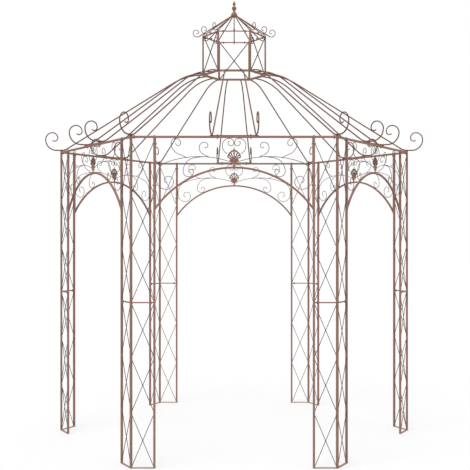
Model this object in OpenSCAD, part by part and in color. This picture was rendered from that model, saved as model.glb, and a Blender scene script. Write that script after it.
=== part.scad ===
/* [Overall] */
// Length of each of the six sides, between leg corners
side = 1500; // [1200:10:1800]
// Height from the floor to the underside of the eave beams
leg_h = 2402; // [2100:2:2900]
// Rise of the roof ribs, from the top of the beams to the top of the lantern ring
roof_rise = 671; // [540:1:820]

/* [Tubes and rods] */
// Width of the square tubes of the legs, beams and ring
tube = 16; // [12:1:22]
// Width of the arched tube
arch_tube = 14; // [10:1:18]
// Thickness of the roof ribs
rib_d = 11; // [6:1:14]
// Thickness of the thin rods that cross in the legs
brace_d = 5; // [3:0.5:8]
// Thickness of the rods that cross in the lantern
lantern_brace_d = 8; // [4:0.5:10]
// Thickness of the scrollwork rods
vine_d = 5; // [3:0.5:8]

/* [Legs] */
// Distance from the corner upright to the upright beside it
leg_w = 170; // [130:5:240]
// Height of the joint between the two halves of a leg
split_h = 1205; // [900:5:1500]
// Thickness of the flat bar under the feet
foot_bar = 6; // [4:1:10]
// Thickness of the end bar of each leg half at their joint
joint_bar = 4.5; // [3:0.5:8]
// Number of crosses in each leg half
crosses = 3; // [2:1:5]
// Gap between the top of the crosses and the beam
cross_gap = 20; // [10:1:60]

/* [Arches] */
// Gap between the beam and the crown of the arch
crown_drop = 208; // [190:1:260]
// Rise of the arch, from its ends to its crown
arch_rise = 289; // [240:1:420]
// Thickness of the flat bars at the arch ends
end_bar = 4; // [3:0.5:8]
// Length of the end bars below the arch ends
end_tail = 16; // [5:1:60]

/* [Scrollwork] */
// Height of the shell from its base to its top edge
shell_h = 94; // [80:1:110]
// Width of the shell
shell_w = 96; // [80:1:110]
// Thickness of the shell
shell_t = 8; // [5:1:12]
// Depth of the shell's base under the beam
shell_drop = 182; // [175:1:190]
// Width of the shell's neck
neck_w = 13; // [8:1:20]
// Number of slots in the shell
slots = 6; // [4:2:6]

/* [Roof] */
// Distance between the two ribs of a roof face, at the beam
pair_foot = 324; // [200:2:500]
// Distance between the two ribs of a roof face, at the ring
pair_top = 112; // [60:2:180]
// Radius of the bend where a rib leaves its beam
foot_r = 103; // [60:1:150]
// Radius of the bend where a rib reaches the ring
top_r = 480; // [300:5:600]
// Straight stretch of a rib between its beam and its scroll
foot_run = 42; // [10:1:80]
// Outer radius of the scrolls at the rib ends
scroll_r = 94; // [70:1:120]
// Thickness of the flat bars that join two ribs
tie_bar = 5; // [3:1:8]

/* [Lantern] */
// Side of the hexagonal lantern ring, between post centres
ring_side = 270; // [220:5:340]
// Width of the square lantern posts
post = 14; // [10:1:18]
// Height of the lantern posts
post_h = 339; // [250:1:420]
// Height of the posts above the eave bars
post_head = 12; // [6:1:30]
// Thickness of the lantern's eave bars
lantern_d = 7; // [5:1:9]
// Thickness of the lantern's ribs
lantern_rib_d = 9; // [6:1:11]
// Rise of the lantern's roof, from the post tops to the underside of the finial's bulb
lantern_rise = 164; // [130:1:240]
// Length of a lantern rib past the eave, before its scroll
lantern_past = 40; // [20:1:60]
// Outer radius of the lantern's scrolls
lantern_scroll_r = 34; // [26:1:46]

/* [Finial] */
// Radius of the collar that the lantern ribs meet
collar_r = 26; // [22:1:27]
// Height of the collar
collar_h = 14; // [12:1:30]
// Radius of the bulb above the collar
bulb_r = 27; // [23:1:34]
// Height from the collar to the middle of the ball
ball_rise = 69; // [62:1:90]
// Radius of the ball
ball_r = 20.5; // [14:0.5:24]
// Height from the middle of the ball to the middle of the small ball
bead_rise = 38; // [36:1:60]
// Radius of the small ball
bead_r = 14; // [8:0.5:16]
// Height of the spike above the middle of the small ball
spike_h = 29; // [20:1:60]

/* [Hidden] */
$fn = 64;

// Clearance between pieces that are welded or rest on each other across a round or slanted place
seat = 0.2;
iron = [0.44, 0.36, 0.33];
rod_iron = [0.50, 0.45, 0.42];
// Turn of a curved path between two of its points
arc_step = 9;

half_side = side / 2;
apothem = side * cos(30);
beam_top = leg_h + tube;
// Half the clear width between the two end bars of an arch
half_span = half_side - leg_w - tube / 2 - end_bar;
crown_z = leg_h - crown_drop - arch_tube / 2;
arch_r = (half_span * half_span + arch_rise * arch_rise) / (2 * arch_rise);
arch_turn = 2 * asin(half_span / arch_r);

ring_apothem = ring_side * cos(30);
ring_top = beam_top + roof_rise;
ring_z = ring_top - tube;
post_top = ring_top + post_h;
eave_top = post_top - post_head;
peak_z = post_top + lantern_rise;
// How far the finial's collar and the lantern ribs reach up beside its bulb
collar_over = 6;

// A path is a list of steps, each [length, 0] for a straight or [radius, turn] for a bend.
// Its points are [x, y, heading], and a bend gets one every arc_step degrees.
function after(p, step, share) =
    step[1] == 0
        ? [p[0] + step[0] * share * cos(p[2]), p[1] + step[0] * share * sin(p[2]), p[2]]
        : let (h = p[2] + step[1] * share, r = step[0] * sign(step[1]))
            [p[0] + r * (sin(h) - sin(p[2])), p[1] + r * (cos(p[2]) - cos(h)), h];
function parts(step) = step[1] == 0 ? 1 : max(1, ceil(abs(step[1]) / arc_step));
function path_points(p, steps, i = 0) =
    i == len(steps)
        ? [p]
        : concat(
            [for (k = [0 : parts(steps[i]) - 1]) after(p, steps[i], k / parts(steps[i]))],
            path_points(after(p, steps[i], 1), steps, i + 1)
        );
function beside(p, w) = [p[0] - w * sin(p[2]), p[1] + w * cos(p[2])];
function outline(points, d) = concat(
    [for (p = points) beside(p, d / 2)],
    [for (k = [len(points) - 1 : -1 : 0]) beside(points[k], -d / 2)]
);

// Flat shape of a bent rod
module bent(start, steps, d) {
    polygon(outline(path_points(start, steps), d));
}

// Puts a drawing of the face between corners k - 1 and k on that face.
// The drawing has x along the face, y towards the middle and z up.
module on_face(k) {
    rotate([0, 0, 60 * (k - 1)])
        translate([0, -apothem, 0])
            children();
}

// Puts a drawing on corner k, with x pointing outwards
module on_corner(k) {
    rotate([0, 0, 60 * (k - 1) - 120])
        translate([side, 0, 0])
            children();
}

// Stands a flat drawing upright, with the given thickness centred on the plane
module upright(t) {
    rotate([90, 0, 0])
        linear_extrude(height = t, center = true)
            children();
}

module post_between(w, z0, z1) {
    translate([-w / 2, -w / 2, z0])
        cube([w, w, z1 - z0]);
}

// Two rods that cross between x0 and x1, from z0 to z1
module cross(x0, x1, z0, z1, d) {
    run = x1 - x0;
    rise = z1 - z0;
    tilt = atan2(run, rise);
    length = norm([run, rise]);
    translate([x0, 0, z0])
        rotate([0, tilt, 0])
            cylinder(d = d, h = length, $fn = 6);
    translate([x1, 0, z0])
        rotate([0, -tilt, 0])
            cylinder(d = d, h = length, $fn = 6);
}

// One half of a leg: three uprights, the crosses between them and a flat bar at each end given
module leg_half(z0, z1, bar0, bar1, cross_top) {
    pitch = (cross_top - z0) / crosses;
    post_between(tube, z0, z1);
    for (turn = [-120, 120])
        rotate([0, 0, turn]) {
            translate([leg_w, 0, 0])
                post_between(tube, z0, z1);
            for (i = [0 : crosses - 1])
                cross(0, leg_w, z0 + i * pitch, z0 + (i + 1) * pitch, brace_d);
            translate([0, -tube / 2, z0])
                cube([leg_w, tube, bar0]);
            if (bar1 > 0)
                translate([0, -tube / 2, z1 - bar1])
                    cube([leg_w, tube, bar1]);
        }
}

// Cuts away what crosses run past the uprights or below and above their leg half
module leg_space(z0, z1) {
    for (turn = [-120, 120])
        rotate([0, 0, turn])
            translate([-tube, -tube, z0])
                cube([leg_w + 1.5 * tube, 2 * tube, z1 - z0]);
}

module leg_lower(k) {
    color(iron)
        on_corner(k)
            intersection() {
                leg_half(0, split_h, foot_bar, joint_bar, split_h);
                leg_space(0, split_h);
            }
}

module leg_upper(k) {
    color(iron)
        on_corner(k)
            intersection() {
                leg_half(split_h, leg_h, joint_bar, 0, leg_h - cross_gap);
                leg_space(split_h, leg_h);
            }
}

// Eave beam with mitred ends, the arch under it and the flat bars that fasten them to the legs
module arch(k) {
    end_z = crown_z - arch_rise - end_tail;
    color(iron)
        on_face(k) {
            translate([0, 0, leg_h])
                linear_extrude(height = tube)
                    polygon([
                        [-half_side - tube / 2 * tan(30), -tube / 2],
                        [half_side + tube / 2 * tan(30), -tube / 2],
                        [half_side - tube / 2 * tan(30), tube / 2],
                        [-half_side + tube / 2 * tan(30), tube / 2]
                    ]);
            intersection() {
                translate([0, 0, crown_z - arch_r])
                    rotate([90, 0, 0])
                        rotate([0, 0, 90 - arch_turn / 2 - 2])
                            rotate_extrude(angle = arch_turn + 4, $fn = 180)
                                translate([arch_r, 0])
                                    square(arch_tube, center = true);
                translate([-half_span - end_bar / 2, -tube, 0])
                    cube([2 * half_span + end_bar, 2 * tube, leg_h]);
            }
            for (m = [0, 1])
                mirror([m, 0, 0])
                    translate([half_span, -tube / 2, end_z])
                        cube([end_bar, tube, leg_h - end_z]);
        }
}

/* Scrollwork: x from the middle of the face outwards, heights from the underside of the beam down */
stem_x = shell_w * 0.34;
stem_z = leg_h - shell_drop + 11;
stem_h0 = 18.5;
stem_turn = 38;
hook_r = 115;
hook_x = half_span - vine_d / 2 - seat;
hook_turn = 90 + stem_h0 - stem_turn;
stem_r = (hook_x - stem_x - hook_r * (1 - sin(stem_turn - stem_h0))) / (sin(stem_h0) + sin(stem_turn - stem_h0));
stem_start = [stem_x, stem_z, stem_h0];
// Where the three branches leave the stem, as shares of its turn
near_root = after(stem_start, [stem_r, -stem_turn], 0.33);
drop_root = after(stem_start, [stem_r, -stem_turn], 0.42);
far_root = after(stem_start, [stem_r, -stem_turn], 0.685);
near_h = 25;
drop_h = -7;
far_h = 23;
far_bend = 85;
far_loop = 34.5;
// Straight stretch of the far branch, so that its loop meets the beam
far_run = (leg_h - seat - vine_d / 2 - far_loop - far_bend * cos(far_h) - far_root[1]) / sin(far_h);
heart_x = 46.5;
heart_z = leg_h - 116;
heart_h = 22;
heart_side = 62.5;
heart_top = 50;
heart_in = 33;
heart_run = leg_h - seat - vine_d / 2 - heart_top - heart_side * cos(heart_h) - heart_z;
// Middle of the heart's bead, where its two halves meet
bead_z = leg_h - seat - vine_d / 2 - heart_in;

module vine_half() {
    // Stem, and the spiral that it ends in beside the arch end
    bent(stem_start,
        [[stem_r, -stem_turn], [hook_r, -hook_turn], [20, 0], [70, -90], [55, -90], [40, -90], [28, -90], [20, -90]],
        vine_d);
    // Branch with its curl near the shell
    bent([near_root[0], near_root[1], near_h],
        [[43, 0], [57, 65], [38, 90], [25, 90], [15, 90], [12, 60]],
        vine_d);
    // Branch that hangs down to the arch
    bent([drop_root[0], drop_root[1], drop_h],
        [[60, 0], [100, -83], [40, -90], [35, -90], [18, -90], [16, -110]],
        vine_d);
    // Branch with its loop under the beam
    bent([far_root[0], far_root[1], far_h],
        [[far_run, 0], [far_bend, 90 - far_h], [far_loop, 180], [18, 180]],
        vine_d);
    // Half of the heart over the shell
    bent([heart_x, heart_z, heart_h],
        [[heart_side, 90 - heart_h], [heart_run, 0], [heart_top, 90], [heart_in, 90], [21, 180], [13, 90]],
        vine_d);
}

spike_base = leg_h - shell_drop + shell_h - 4;
spike_top = spike_base + 26;
link_w = 2.5;

module scrollwork(k) {
    color(rod_iron)
        on_face(k)
            upright(vine_d) {
                vine_half();
                mirror([1, 0])
                    vine_half();
                translate([0, bead_z])
                    circle(d = 2 * vine_d, $fn = 12);
                translate([-link_w / 2, spike_top + seat])
                    square([link_w, bead_z - spike_top]);
            }
}

// Flat outline of a shell: scalloped fan, two petals at its base, the neck down to the arch and a spike
module shell_outline() {
    base_z = leg_h - shell_drop;
    fan_r = shell_w / 2 - 4;
    fan_z = base_z + shell_h - 4 - fan_r;
    lobe_r = 8;
    translate([0, fan_z])
        circle(r = fan_r);
    for (a = [-16 : 26.5 : 196])
        translate([(fan_r - lobe_r + 4) * cos(a), fan_z + (fan_r - lobe_r + 4) * sin(a)])
            circle(r = lobe_r, $fn = 24);
    foot_x = stem_x - seat - vine_d / 2 * sin(stem_h0);
    for (m = [0, 1])
        mirror([m, 0])
            polygon([
                [0, base_z + 40], [foot_x, base_z + 20], [foot_x, base_z + 10],
                [foot_x * 0.8, base_z + 3], [foot_x * 0.45, base_z - 3], [neck_w / 2, base_z - 9],
                [neck_w / 2, crown_z + arch_tube / 2], [0, crown_z + arch_tube / 2]
            ]);
    polygon([[-6, spike_base - 3], [6, spike_base - 3], [1.5, spike_top], [-1.5, spike_top]]);
}

// Slots between the shell's ribs, as a fan from its hinge, with half of them on each side
module shell_slots() {
    hinge_z = leg_h - shell_drop + 19;
    for (m = [0, 1], i = [0 : slots / 2 - 1]) {
        lean = 15 + 18.5 * i;
        near = 29 + 2.5 * i;
        far = 62 - 6.5 * i;
        mirror([m, 0])
            translate([0, hinge_z])
                rotate(90 - lean)
                    polygon([[near, -2.4], [far - 3, -4.4], [far, 0], [far - 3, 4.4], [near, 2.4]]);
    }
}

module shells() {
    color(iron)
        for (k = [1 : 6])
            on_face(k)
                upright(shell_t)
                    difference() {
                        shell_outline();
                        shell_slots();
                    }
}

// Steps of a scroll, from its outer bend to its eye
function scroll_steps(r) = [[r * 0.63, 90], [r * 0.49, 90], [r * 0.29, 90], [r * 0.2, 60]];

// Slope of a rib between its two bends, over this run and rise
function slope(run, rise) =
    asin((foot_r + top_r) / norm([run, foot_r + top_r - rise])) - atan2(foot_r + top_r - rise, run);
function slope_run(run, rise) =
    (run - (foot_r + top_r) * sin(slope(run, rise))) / cos(slope(run, rise));

// Height of a rib's middle over the beam, where it rests on its flat bar
rib_lift = tie_bar + rib_d / 2;
// Height of a rib's middle where it meets the ring, over that place
rib_rise = roof_rise - tube / 2 - rib_lift;

// Upright drawing of a rib that rests over its beam at x = 0 and rises over this run, towards +x.
// Its scroll lies towards -x. It runs on a little at the ring, where the ring cuts it off.
module rib(run) {
    a = slope(run, rib_rise);
    upright(rib_d) {
        bent([0, rib_lift, 0],
            [[foot_r, a], [slope_run(run, rib_rise), 0], [top_r, -a], [tube / 2, 0]],
            rib_d);
        mirror([1, 0])
            bent([0, rib_lift, 0], concat([[foot_run, 0], [scroll_r, 90]], scroll_steps(scroll_r)), rib_d);
    }
}

// Outside of the lantern's ring, which every rib ends against
module ring_outside() {
    translate([0, 0, ring_z - tube])
        cylinder(r = ring_side + tube / 2 / cos(30), h = 3 * tube, $fn = 6);
}

// Flat bar of this length along a side, this far inwards and with its underside this high
module tie(length, y, z) {
    translate([-length / 2, y - tube / 2, z])
        cube([length, tube, tie_bar]);
}

module corner_rib(k) {
    color(rod_iron)
        difference() {
            on_corner(k) {
                translate([0, 0, beam_top])
                    rotate([0, 0, 180])
                        rib(side - ring_side - tube / 2 / cos(30));
                rotate([0, 0, 90])
                    tie(2 * rib_d, 0, beam_top);
            }
            ring_outside();
        }
}

// The two ribs of a roof face, with the flat bar that joins them on the beam
module roof_ribs(k) {
    inward = apothem - ring_apothem - tube / 2;
    sideways = (pair_foot - pair_top) / 2;
    color(rod_iron)
        difference() {
            on_face(k) {
                for (m = [0, 1])
                    mirror([m, 0, 0])
                        translate([-pair_foot / 2, 0, beam_top])
                            rotate([0, 0, atan2(inward, sideways)])
                                rib(norm([inward, sideways]));
                tie(pair_foot + 3 * rib_d, 0, beam_top);
            }
            ring_outside();
        }
}

module hex_band(r, w) {
    difference() {
        circle(r = r + w / 2 / cos(30), $fn = 6);
        circle(r = r - w / 2 / cos(30), $fn = 6);
    }
}

module lantern_ring() {
    color(iron)
        translate([0, 0, ring_z])
            linear_extrude(height = tube)
                hex_band(ring_side, tube);
}

module lantern_posts() {
    color(iron)
        for (k = [0 : 5])
            rotate([0, 0, 60 * k])
                translate([ring_side, 0, 0])
                    post_between(post, ring_top, post_top);
}

// Crossed rods in every other side of the lantern, from post to post
module lantern_braces() {
    reach = ring_side / 2 - post * 0.7;
    open_h = eave_top - lantern_d - ring_top;
    color(rod_iron)
        for (turn = [60, 180, 300])
            rotate([0, 0, turn])
                translate([0, -ring_apothem, ring_top])
                    intersection() {
                        cross(-reach, reach, 0, open_h, lantern_brace_d);
                        translate([-reach, -tube, 0])
                            cube([2 * reach, 2 * tube, open_h]);
                    }
}

// Bars between the post heads, each with a block in its middle that carries a rib
module lantern_eave() {
    color(iron) {
        difference() {
            translate([0, 0, eave_top - lantern_d])
                linear_extrude(height = lantern_d)
                    hex_band(ring_side, post);
            for (k = [0 : 5])
                rotate([0, 0, 60 * k])
                    translate([ring_side - post, -post / 2 - seat, ring_top])
                        cube([2 * post, post + 2 * seat, post_h]);
        }
        for (k = [0 : 5])
            rotate([0, 0, 60 * k])
                translate([0, -ring_apothem, 0])
                    post_between(post, eave_top - lantern_d, post_top);
    }
}

// A straight lantern rib over a post or block, which is this far from the middle.
// It ends against the finial's collar, and its scroll hangs past the eave.
module lantern_rib(reach) {
    r = lantern_scroll_r;
    run = reach - collar_r - seat;
    top = peak_z + collar_over - lantern_rib_d * 0.73;
    low = post_top + post / 2 * (top - post_top) / run + lantern_rib_d * 0.65;
    a = atan2(top - low, run);
    translate([reach, 0, low])
        rotate([0, 0, 180])
            upright(lantern_rib_d)
                intersection() {
                    union() {
                        bent([0, 0, a], [[run / cos(a) + lantern_rib_d, 0]], lantern_rib_d);
                        mirror([1, 0])
                            bent([0, 0, -a], concat([[lantern_past, 0], [r, 90 + a]], scroll_steps(r * 1.25)),
                                lantern_rib_d);
                    }
                    translate([-6 * r, -6 * r])
                        square([6 * r + run, 12 * r + lantern_rise]);
                }
}

module lantern_ribs() {
    color(rod_iron)
        for (k = [0 : 5])
            rotate([0, 0, 60 * k]) {
                lantern_rib(ring_side);
                rotate([0, 0, 30])
                    lantern_rib(ring_apothem);
            }
}

// Turned finial: collar, bulb, ball, small ball and spike, with the necks between them
module finial() {
    bulb_z = peak_z + bulb_r * 0.45;
    ball_z = peak_z + ball_rise;
    bead_c = ball_z + bead_rise;
    neck = bulb_r * 0.36;
    color(iron)
        rotate_extrude() {
            translate([0, peak_z + collar_over - collar_h])
                square([collar_r, collar_h]);
            intersection() {
                translate([0, bulb_z])
                    circle(r = bulb_r);
                translate([0, peak_z])
                    square([2 * bulb_r, bulb_z - peak_z + bulb_r * 0.5]);
            }
            polygon([
                [0, bulb_z], [bulb_r * 0.9, bulb_z + bulb_r * 0.4], [neck, bulb_z + bulb_r * 1.15],
                [neck, ball_z], [0, ball_z]
            ]);
            intersection() {
                union() {
                    translate([0, ball_z])
                        circle(r = ball_r);
                    translate([0, bead_c])
                        circle(r = bead_r);
                }
                translate([0, peak_z])
                    square([2 * bulb_r, ball_rise + bead_rise + 2 * bead_r]);
            }
            polygon([
                [0, ball_z], [neck * 0.55, ball_z], [neck * 0.55, bead_c], [neck * 0.5, bead_c + bead_r * 0.8],
                [0.8, bead_c + spike_h], [0, bead_c + spike_h]
            ]);
        }
}

leg_lower(1);  // leg_1_lower
leg_lower(2);  // leg_2_lower
leg_lower(3);  // leg_3_lower
leg_lower(4);  // leg_4_lower
leg_lower(5);  // leg_5_lower
leg_lower(6);  // leg_6_lower
leg_upper(1);  // leg_1_upper
leg_upper(2);  // leg_2_upper
leg_upper(3);  // leg_3_upper
leg_upper(4);  // leg_4_upper
leg_upper(5);  // leg_5_upper
leg_upper(6);  // leg_6_upper
arch(1);  // arch_1
arch(2);  // arch_2
arch(3);  // arch_3
arch(4);  // arch_4
arch(5);  // arch_5
arch(6);  // arch_6
scrollwork(1);  // scrollwork_1
scrollwork(2);  // scrollwork_2
scrollwork(3);  // scrollwork_3
scrollwork(4);  // scrollwork_4
scrollwork(5);  // scrollwork_5
scrollwork(6);  // scrollwork_6
shells();
roof_ribs(1);  // roof_ribs_1
roof_ribs(2);  // roof_ribs_2
roof_ribs(3);  // roof_ribs_3
roof_ribs(4);  // roof_ribs_4
roof_ribs(5);  // roof_ribs_5
roof_ribs(6);  // roof_ribs_6
corner_rib(1);  // corner_rib_1
corner_rib(2);  // corner_rib_2
corner_rib(3);  // corner_rib_3
corner_rib(4);  // corner_rib_4
corner_rib(5);  // corner_rib_5
corner_rib(6);  // corner_rib_6
lantern_ring();
lantern_posts();
lantern_braces();
lantern_eave();
lantern_ribs();
finial();
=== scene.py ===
from math import asin, atan, atan2, ceil, copysign, cos, degrees, hypot, pi, radians, sin, tan

import bmesh
import bpy
import numpy as np
from bpy.props import FloatProperty, FloatVectorProperty, IntProperty, PointerProperty
from mathutils import Matrix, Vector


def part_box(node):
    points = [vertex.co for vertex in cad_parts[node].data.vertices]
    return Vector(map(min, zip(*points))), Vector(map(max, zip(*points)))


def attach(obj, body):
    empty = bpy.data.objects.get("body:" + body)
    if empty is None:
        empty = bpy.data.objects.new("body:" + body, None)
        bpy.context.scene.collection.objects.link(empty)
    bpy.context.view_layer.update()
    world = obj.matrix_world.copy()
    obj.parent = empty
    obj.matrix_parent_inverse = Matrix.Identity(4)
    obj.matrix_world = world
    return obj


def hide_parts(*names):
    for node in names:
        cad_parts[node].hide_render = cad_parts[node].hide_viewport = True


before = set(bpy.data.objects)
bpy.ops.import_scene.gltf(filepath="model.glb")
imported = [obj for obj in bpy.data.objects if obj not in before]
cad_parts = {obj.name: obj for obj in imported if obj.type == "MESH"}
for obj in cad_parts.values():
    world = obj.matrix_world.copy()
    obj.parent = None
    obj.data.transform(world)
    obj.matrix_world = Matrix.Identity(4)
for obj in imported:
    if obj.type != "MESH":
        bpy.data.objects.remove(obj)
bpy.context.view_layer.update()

bl_info = {
    "name": "Hexagonal Garden Pavilion",
    "version": (1, 0, 0),
    "blender": (4, 5, 0),
    "location": "3D View > Sidebar > Pavilion",
    "description": "Builds the ironwork and finishes of a hexagonal garden pavilion on its packed frame",
    "category": "Object",
}

MM = 0.001
HEX = cos(radians(30))
SIDES = range(1, 7)
EAVE_BAR = 7 * MM
# height of the finial's tip above the lantern's peak, in millimetres
FINIAL_TIP = 136.0

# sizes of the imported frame, which the defaults below start from
RING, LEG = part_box("lantern_ring"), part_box("leg_3_lower")
TUBE = RING[1].z - RING[0].z
EAVE_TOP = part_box("lantern_braces")[1].z + EAVE_BAR
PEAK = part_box("finial")[1].z - FINIAL_TIP * MM


# ---------------- settings


def length(name, about, default):
    return FloatProperty(name=name, description=about, default=default, unit="LENGTH", subtype="DISTANCE")


def tint(name, about, default):
    return FloatVectorProperty(name=name, description=about, default=default, subtype="COLOR", min=0.0, max=1.0)


def share(name, about, default):
    return FloatProperty(name=name, description=about, default=default, min=0.0, max=1.0, subtype="FACTOR")


def number(name, about, default, least=0.0):
    return FloatProperty(name=name, description=about, default=default, min=least)


class PavilionSizes(bpy.types.PropertyGroup):
    """Sizes of the ironwork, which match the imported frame"""

    side: length("Side", "Distance between leg corners", LEG[1].x - TUBE / 2)
    tube: length("Tube", "Width of the square tubes", TUBE)
    tube_corner: length("Tube Corner", "Radius of the square tubes' edges", 1.8 * MM)
    beam_top: length("Beam Top", "Top of the eave beams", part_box("arch_1")[1].z)
    split: length("Leg Joint", "Height of the joint between the halves of a leg", LEG[1].z)
    leg_width: length("Leg Width", "Distance from the corner upright to the one beside it", 170 * MM)
    foot_bar: length("Foot Bar", "Thickness of the flat bar under the feet", 6 * MM)
    joint_bar: length("Joint Bar", "Thickness of the flat bars where leg halves meet", 4.5 * MM)
    brace: length("Crossed Rods", "Thickness of the rods that cross in the legs", 5 * MM)
    lantern_brace: length("Lantern Crossed Rods", "Thickness of the rods that cross in the lantern", 8 * MM)
    cross_gap: length("Cross Gap", "Gap between the crossed rods and the beam", 20 * MM)
    crosses: IntProperty(name="Crosses", description="Crosses in each half of a leg", default=3, min=2, max=5)
    arch_tube: length("Arch Tube", "Width of the arched tube", 14 * MM)
    arch_rise: length("Arch Rise", "Rise of the arch from its ends to its crown", 289 * MM)
    crown_drop: length("Crown Drop", "Gap between the beam and the arch", 208 * MM)
    end_bar: length("End Bar", "Thickness of the bars at the arch ends", 4 * MM)
    end_tail: length("End Tail", "Length of those bars below the arch ends", 16 * MM)
    vine: length("Vine Rod", "Thickness of the scrollwork rods", 5 * MM)
    rib: length("Roof Rib", "Thickness of the roof ribs", 11 * MM)
    tie_bar: length("Tie Bar", "Thickness of the flat bars under the ribs", 5 * MM)
    ring_side: length("Ring Side", "Length of each side of the lantern's ring", RING[1].x - TUBE / 2 / HEX)
    ring_top: length("Ring Top", "Top of the lantern's ring", RING[1].z)
    post: length("Lantern Post", "Width of the lantern's posts", 14 * MM)
    post_top: length("Post Top", "Top of the lantern's posts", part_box("lantern_posts")[1].z)
    eave_top: length("Eave Top", "Top of the lantern's eave bars", EAVE_TOP)
    lantern_eave: length("Lantern Eave Bar", "Thickness of the bars between the posts' heads", EAVE_BAR)
    lantern_rib: length("Lantern Rib", "Thickness of the lantern's ribs", 9 * MM)
    peak: length("Peak", "Height of the lantern's peak, under the finial", PEAK)


class PavilionFinish(bpy.types.PropertyGroup):
    """Colours and wear of the coat on the iron, with painted shade on the shells' fans and a painted highlight
    in the castings' colours
    """

    tube_brown: tint("Tube Brown", "Main colour of the square tubes", (0.310, 0.164, 0.129))
    tube_copper: tint("Tube Copper", "Reddish colour on the tubes", (0.450, 0.204, 0.150))
    rod_brown: tint("Rod Brown", "Main colour of the bent rods", (0.186, 0.090, 0.064))
    rod_copper: tint("Rod Copper", "Reddish colour on the rods", (0.325, 0.122, 0.084))
    steel_dark: tint("Dark Steel", "Main colour of the crossed rods", (0.040, 0.040, 0.041))
    steel_brown: tint("Dark Steel Brown", "Brownish colour on the crossed rods", (0.085, 0.060, 0.052))
    vine_brown: tint("Vine Brown", "Main colour of the scrollwork", (0.205, 0.160, 0.142))
    vine_copper: tint("Vine Copper", "Reddish colour on the scrollwork", (0.290, 0.168, 0.129))
    # painted shade: the shells' fans take a darker copy of the casting colour, for the shade on the fan beside
    # the lighter body
    fan_painted_shade: tint("Fan Painted Shade", "Darker copy of the casting colour on the shells' fans, as painted shade", (0.180, 0.115, 0.084))
    # the castings' own brown and copper, set lighter to take in a painted highlight of the finial's bulb and
    # the shells' hubs
    casting_brown_and_highlight: tint("Casting Brown", "Main colour of the shells and the finial", (0.305, 0.164, 0.121))
    casting_copper_and_highlight: tint("Casting Copper", "Reddish colour on the castings", (0.560, 0.292, 0.213))
    edge_copper: tint("Edge Copper", "Colour of rubbed edges", (0.400, 0.245, 0.190))
    bolt_dark: tint("Bolt Dark", "Colour of the blackened bolts", (0.085, 0.065, 0.058))
    rub: share("Edge Rub", "How much of the edges is rubbed", 0.45)
    patches: share("Patches", "How strongly the reddish patches show", 0.6)


class PavilionStage(bpy.types.PropertyGroup):
    """Camera and light"""

    eye_height: length("Eye Height", "Height of the camera above the floor", 1.7108)
    distance: length("Distance", "Distance of the camera from the middle of the pavilion", 7.994)
    lens: number("Lens", "Focal length in millimetres on a 36 mm sensor", 70.53, least=10.0)
    shift: FloatVectorProperty(name="Shift", description="Camera shift", default=(0.0018, -0.0042), size=2)
    sky: number("Sky Strength", "Strength of the even light from all round", 0.45)
    lamp: number("Lamp Strength", "Strength of the main soft lamp", 1.5)


# ---------------- shapes


class Shape:
    """Collects the vertices and faces of one piece."""

    def __init__(self):
        self.verts, self.faces = [], []

    def loft(self, rings):
        """Skins rings of equal count, each an n x 3 array, and caps both ends."""
        n, first = len(rings[0]), len(self.verts)
        last = first + (len(rings) - 1) * n
        for ring in rings:
            self.verts.extend(ring)
        for a in range(first, last, n):
            for k in range(n):
                j = (k + 1) % n
                self.faces.append((a + k, a + j, a + n + j, a + n + k))
        self.faces.append(tuple(range(first + n - 1, first - 1, -1)))
        self.faces.append(tuple(range(last, last + n)))

    def sweep(self, path, section, place, end_scale=0.8, slim=None):
        """A bar or rod: section (n x 2) carried along path, whose points are (x, z, heading) in the upright
        drawing. Its ends are eased by end_scale, and slim gives its scale at each point if it is drawn down."""
        sizes = np.ones(len(path)) if slim is None else slim
        inset = (1 - end_scale) * np.abs(section).max()
        path = [path[0], slide(path[0], inset), *path[1:-1], slide(path[-1], -inset), path[-1]]
        sizes = [sizes[0] * end_scale, sizes[0], *sizes[1:-1], sizes[-1], sizes[-1] * end_scale]
        self.loft([ring_at(p, section * size, place) for p, size in zip(path, sizes)])

    def turned(self, profile, place, sides):
        """A turned form: profile is a list of (radius, height)."""
        circle = round_section(2.0, sides)
        self.loft([level_ring(circle * r, z, place) for r, z in profile])

    def block(self, lo, hi, place, edge=0.6 * MM):
        """A flat bar or block with eased edges between two corners."""
        rings = []
        for z, inset in ((lo[2], edge), (lo[2] + edge, 0), (hi[2] - edge, 0), (hi[2], edge)):
            (x0, y0), (x1, y1) = np.add(lo[:2], inset), np.subtract(hi[:2], inset)
            ring = [
                (x0 + edge, y0), (x1 - edge, y0), (x1, y0 + edge), (x1, y1 - edge),
                (x1 - edge, y1), (x0 + edge, y1), (x0, y1 - edge), (x0, y0 + edge),
            ]
            rings.append(level_ring(ring, z, place))
        self.loft(rings)


def put(points, place):
    m = np.array(place)
    return points @ m[:3, :3].T + m[:3, 3]


def level_ring(section, z, place):
    """Section ring that lies flat, at height z of the place."""
    return put(np.column_stack([section, np.full(len(section), z)]), place)


def ring_at(p, section, place):
    """Section ring at path point p = (x, z, heading in degrees), square to the path."""
    h = radians(p[2])
    ring = section[:, :1] * (-sin(h), 0, cos(h)) + section[:, 1:] * (0, 1, 0) + (p[0], 0, p[1])
    return put(ring, place)


def slide(p, by):
    h = radians(p[2])
    return (p[0] + by * cos(h), p[1] + by * sin(h), p[2])


def turned_back(p):
    return (p[0], p[1], p[2] + 180)


def round_section(d, sides=12):
    a = np.linspace(0, 2 * pi, sides, endpoint=False)
    return d / 2 * np.stack([np.cos(a), np.sin(a)], 1)


def tube_section(width, corner):
    """Square with rounded corners."""
    a = np.radians(np.add.outer([0, 90, 180, 270], [0, 45, 90])).ravel()
    middles = np.repeat([(1, 1), (-1, 1), (-1, -1), (1, -1)], 3, axis=0) * (width / 2 - corner)
    return middles + corner * np.stack([np.cos(a), np.sin(a)], 1)


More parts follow.
